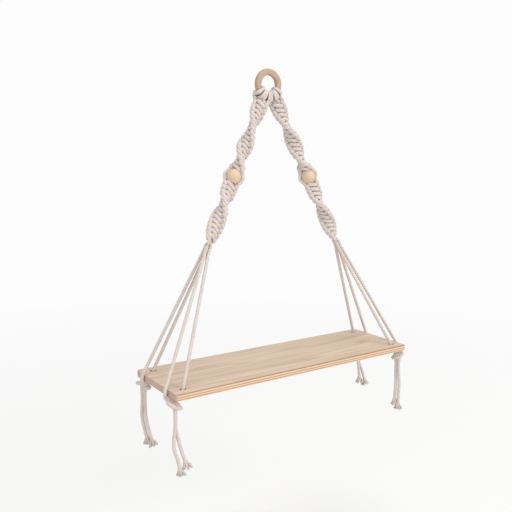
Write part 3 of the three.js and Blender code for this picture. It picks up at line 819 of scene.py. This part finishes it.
def cotton_material():
    """Yarn streaks that run with the strands, from noise in the lay attribute's pattern of fibres, stretched
    along the rope, with slow clouds of tone, and shade in the grooves between strands."""
    yarn_share, cloud_share, groove_shade = 0.65, 0.35, 0.22
    material, tree, shader = new_material("cotton_rope")
    lay = add(tree, "ShaderNodeAttribute", attribute_name="lay").outputs["Vector"]
    stretched = add(tree, "ShaderNodeMapping", Vector=lay, Scale=(1.0, 1.0, 0.12)).outputs["Vector"]
    yarn = add(tree, "ShaderNodeTexNoise", Vector=stretched, Scale=1.6, Detail=4.0, Roughness=0.65)
    yarn = yarn.outputs["Fac"]
    cloud = add(tree, "ShaderNodeTexNoise", Vector=lay, Scale=0.05, Detail=2.0).outputs["Fac"]
    tone = maths(tree, "MULTIPLY_ADD", yarn, yarn_share, maths(tree, "MULTIPLY", cloud, cloud_share))
    shaded, plain, bright = linear(202, 189, 182), linear(212, 201, 195), linear(220, 210, 205)
    colour = ramp(tree, tone, (0.3, shaded), (0.5, plain), (0.72, bright))
    groove = add(tree, "ShaderNodeAttribute", attribute_name="groove").outputs["Fac"]
    colour = mixed(tree, maths(tree, "MULTIPLY", groove, groove_shade), colour, linear(188, 171, 160))
    finish_surface(tree, shader, colour, yarn, strength=0.4, distance=0.0002, roughness=0.92)
    shader.inputs["Specular IOR Level"].default_value = 0.2
    shader.inputs["Sheen Weight"].default_value = 0.15
    shader.inputs["Sheen Roughness"].default_value = 0.5
    return material


def grain_group():
    """The grain of all three woods: noise of the coordinates, each multiplied by its own stretch, so that it
    runs in streaks along the axis with the least."""
    group = bpy.data.node_groups.new("wood_grain", "ShaderNodeTree")
    for name in ("Where", "Stretch"):
        group.interface.new_socket(name, in_out="INPUT", socket_type="NodeSocketVector")
    for name in ("Detail", "Roughness", "Distortion"):
        group.interface.new_socket(name, in_out="INPUT", socket_type="NodeSocketFloat")
    group.interface.new_socket("Grain", in_out="OUTPUT", socket_type="NodeSocketFloat")
    given = add(group, "NodeGroupInput").outputs
    stretched = add(group, "ShaderNodeMapping", Vector=given["Where"], Scale=given["Stretch"])
    noise = add(group, "ShaderNodeTexNoise", Vector=stretched.outputs["Vector"], Scale=1.0,
                Detail=given["Detail"], Roughness=given["Roughness"], Distortion=given["Distortion"])
    put(group, add(group, "NodeGroupOutput").inputs["Grain"], noise.outputs["Fac"])
    return group


WOOD_GRAIN = grain_group()


def grain(tree, where, stretch, detail, roughness, distortion):
    """Wood grain at its own stretch and fineness."""
    made = add(tree, "ShaderNodeGroup", node_tree=WOOD_GRAIN, Where=where, Stretch=stretch, Detail=detail,
               Roughness=roughness, Distortion=distortion)
    return made.outputs["Grain"]


def turned_wood(name, pale, mid, dark, stretch, bump):
    """Beech: fine grain along X from dark to pale, with a slight bump of the same grain."""
    material, tree, shader = new_material(name)
    where = add(tree, "ShaderNodeTexCoord").outputs["Object"]
    streaks = grain(tree, where, stretch, detail=6.0, roughness=0.6, distortion=0.4)
    colour = ramp(tree, streaks, (0.32, linear(*dark)), (0.5, linear(*mid)), (0.68, linear(*pale)))
    finish_surface(tree, shader, colour, streaks, strength=0.35, distance=bump, roughness=0.5)
    return material


def veneer(tree, where, fine, y):
    """The board's faces: fine grain over broad bands, short dark pores, thin lines where a slow wave of
    grain folds back on itself, and a darker rim along both long edges."""
    fine_share, broad_share = 0.55, 0.45
    pore_least, pore_shade = 0.66, 0.12
    folds, line_thin, line_shade = 8.0, -6.0, 0.4
    rim_wide, rim_shade = 0.9, 0.6
    broad = grain(tree, where, (4, 34, 34), detail=3.0, roughness=0.5, distortion=0.8)
    tone = maths(tree, "MULTIPLY_ADD", fine, fine_share, maths(tree, "MULTIPLY", broad, broad_share))
    dark, mid, pale = linear(192, 167, 144), linear(208, 187, 166), linear(218, 200, 181)
    colour = ramp(tree, tone, (0.3, dark), (0.5, mid), (0.7, pale))
    specks = grain(tree, where, (60, 1500, 1500), detail=2.0, roughness=0.5, distortion=0.0)
    pores = maths(tree, "MULTIPLY", maths(tree, "GREATER_THAN", specks, pore_least), pore_shade)
    colour = mixed(tree, pores, colour, linear(170, 140, 112))
    slow = grain(tree, where, (1.3, 17, 17), detail=2.0, roughness=0.5, distortion=0.6)
    fold = maths(tree, "PINGPONG", maths(tree, "MULTIPLY", slow, folds), 0.5)
    line = maths(tree, "MAXIMUM", maths(tree, "MULTIPLY_ADD", fold, line_thin, 1.0), 0.0)
    colour = mixed(tree, maths(tree, "MULTIPLY", line, line_shade), colour, linear(176, 142, 114))
    from_middle = maths(tree, "ABSOLUTE", maths(tree, "ADD", y, -BOARD_MID * MM))
    at_rim = maths(tree, "GREATER_THAN", from_middle, (BOARD_Y / 2 - rim_wide) * MM)
    return mixed(tree, maths(tree, "MULTIPLY", at_rim, rim_shade), colour, linear(164, 124, 92))


def plies(tree, where, z):
    """The board's five plies by height, three pale and two dull, each dull one over a dark glue line, with a
    dark line under the top, and all of them a little wavy."""
    wave_high = 0.09
    height = maths(tree, "MULTIPLY_ADD", z, 1 / (BOARD_Z * MM), (BOARD_Z - BOARD_TOP) / BOARD_Z)
    waves = grain(tree, where, (30, 30, 30), detail=2.0, roughness=0.6, distortion=0.0)
    wavy = maths(tree, "MULTIPLY_ADD", waves, wave_high, maths(tree, "ADD", height, -wave_high / 2))
    pale, dull, glue = linear(226, 200, 170), linear(196, 158, 127), linear(172, 130, 98)
    under_top = linear(158, 118, 88)
    return ramp(tree, wavy, (0.0, pale), (0.1, pale), (0.15, glue), (0.25, dull), (0.3, pale), (0.43, pale),
                (0.48, glue), (0.58, dull), (0.63, pale), (0.83, pale), (0.89, under_top))


def plywood_material():
    """The board's finish, by the way a face points: veneer up and down, plies with fibres on the long edges,
    and at the ends a darker, pinker grain with a trace of the plies."""
    fibre_shade, ply_trace, face_least = 0.3, 0.22, 0.6
    material, tree, shader = new_material("plywood")
    where = add(tree, "ShaderNodeTexCoord").outputs["Object"]
    split = add(tree, "ShaderNodeSeparateXYZ", Vector=where).outputs
    fine = grain(tree, where, (6, 240, 240), detail=7.0, roughness=0.62, distortion=0.3)
    layers = plies(tree, where, split["Z"])
    fibres = grain(tree, where, (120, 120, 1400), detail=3.0, roughness=0.7, distortion=0.0)
    edge = mixed(tree, maths(tree, "MULTIPLY", fibres, fibre_shade), layers, linear(192, 156, 124))
    ends_of_grain = grain(tree, where, (900, 300, 900), detail=4.0, roughness=0.6, distortion=0.0)
    end = ramp(tree, ends_of_grain, (0.35, linear(180, 152, 139)), (0.65, linear(198, 171, 156)))
    end = mixed(tree, ply_trace, end, layers)
    normal = add(tree, "ShaderNodeNewGeometry").outputs["Normal"]
    normal = add(tree, "ShaderNodeSeparateXYZ", Vector=normal).outputs
    sides = mixed(tree, maths(tree, "ABSOLUTE", normal["X"]), edge, end)
    is_face = maths(tree, "GREATER_THAN", maths(tree, "ABSOLUTE", normal["Z"]), face_least)
    colour = mixed(tree, is_face, sides, veneer(tree, where, fine, split["Y"]))
    finish_surface(tree, shader, colour, fine, strength=0.25, distance=0.0002, roughness=0.62)
    return material


cotton = cotton_material()
# The ring's beech is darker than the beads': partly its own darker wood, partly painted shade for the light
# that falls off towards the top.
ring_wood_and_shade = turned_wood("beech_ring_and_shade", (187, 159, 134), (183, 155, 130), (178, 149, 124),
                        stretch=(24, 150, 150), bump=0.00002)
bead_wood = turned_wood("beech_bead", (217, 191, 164), (214, 188, 161), (210, 184, 156),
                        stretch=(30, 180, 180), bump=0.00001)
plywood = plywood_material()

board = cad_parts["shelf_board"]
board.data.materials.clear()
for made, finish in ((pieces, cotton), (beads, bead_wood), ([ring], ring_wood_and_shade), ([board], plywood)):
    for piece in made:
        piece.data.materials.append(finish)


# Floor and light
FLOOR_HALF, FLOOR_Z = 30.0, -0.75
WHITE = (0.98, 0.98, 0.98, 1)
SHADOW_NEAR, SHADOW_FAR, SHADOW_WHITE = 0.3, 2.0, 0.5
WORLD_LIGHT = 0.76
AIM = np.array([0, 0, -0.25])
LAMPS = (
    ("key", (1.05, -2.7, 1.3), 1.7, 43, (1.0, 0.985, 0.97)),
    ("fill", (-1.7, -1.0, 0.3), 1.6, 6, (0.97, 0.98, 1.0)),
    ("top", (0.0, -0.4, 3.0), 1.8, 26, (1.0, 1.0, 1.0)),
)


def seen_by_camera(tree, lit, seen, share):
    """A shader that is the lit one, and for the camera, by the share, the one to be seen."""
    is_camera = add(tree, "ShaderNodeLightPath").outputs["Is Camera Ray"]
    mix = add(tree, "ShaderNodeMixShader", Fac=maths(tree, "MULTIPLY", is_camera, share))
    put(tree, mix.inputs[1], lit)
    put(tree, mix.inputs[2], seen)
    return mix.outputs["Shader"]


def floor():
    """A pale floor that takes the shelf's shadow near it and goes over to plain white farther off."""
    mesh = bpy.data.meshes.new("floor")
    corners = [(-1, -1), (1, -1), (1, 1), (-1, 1)]
    mesh.from_pydata([(x * FLOOR_HALF, y * FLOOR_HALF, FLOOR_Z) for x, y in corners], [], [(0, 1, 2, 3)])
    obj = bpy.data.objects.new("floor", mesh)
    bpy.context.scene.collection.objects.link(obj)
    material, tree, shader = new_material("pale_floor")
    shader.inputs["Base Color"].default_value = (0.86, 0.86, 0.85, 1)
    shader.inputs["Roughness"].default_value = 0.9
    where = add(tree, "ShaderNodeTexCoord").outputs["Object"]
    away = add(tree, "ShaderNodeVectorMath", operation="DISTANCE")
    put(tree, away.inputs[0], where)
    put(tree, away.inputs[1], (0, 0, FLOOR_Z))
    fade = add(tree, "ShaderNodeMapRange", Value=away.outputs["Value"])
    for name, value in (("From Min", SHADOW_NEAR), ("From Max", SHADOW_FAR), ("To Min", SHADOW_WHITE)):
        put(tree, fade.inputs[name], value)
    glow = add(tree, "ShaderNodeEmission", Color=WHITE, Strength=1.0).outputs["Emission"]
    surface = seen_by_camera(tree, shader.outputs["BSDF"], glow, fade.outputs["Result"])
    put(tree, tree.nodes["Material Output"].inputs["Surface"], surface)
    mesh.materials.append(material)


def light():
    """Soft lamps round the shelf, and a world that lights it evenly and looks white to the camera."""
    world = bpy.data.worlds.new("studio")
    bpy.context.scene.world = world
    world.use_nodes = True
    tree = world.node_tree
    even = tree.nodes["Background"]
    even.inputs["Color"].default_value = (0.93, 0.93, 0.925, 1)
    even.inputs["Strength"].default_value = WORLD_LIGHT
    seen = add(tree, "ShaderNodeBackground", Color=WHITE, Strength=1.0).outputs["Background"]
    surface = seen_by_camera(tree, even.outputs["Background"], seen, 1.0)
    put(tree, tree.nodes["World Output"].inputs["Surface"], surface)
    for name, lamp_at, size, power, colour in LAMPS:
        data = bpy.data.lights.new(name, "AREA")
        data.shape, data.size, data.energy, data.color = "DISK", size, power, colour
        lamp = bpy.data.objects.new(name, data)
        lamp.location = lamp_at
        lamp.rotation_euler = Vector(AIM - np.array(lamp_at)).to_track_quat("-Z", "Y").to_euler()
        bpy.context.scene.collection.objects.link(lamp)


floor()
light()
bpy.context.scene.view_settings.view_transform = "Standard"
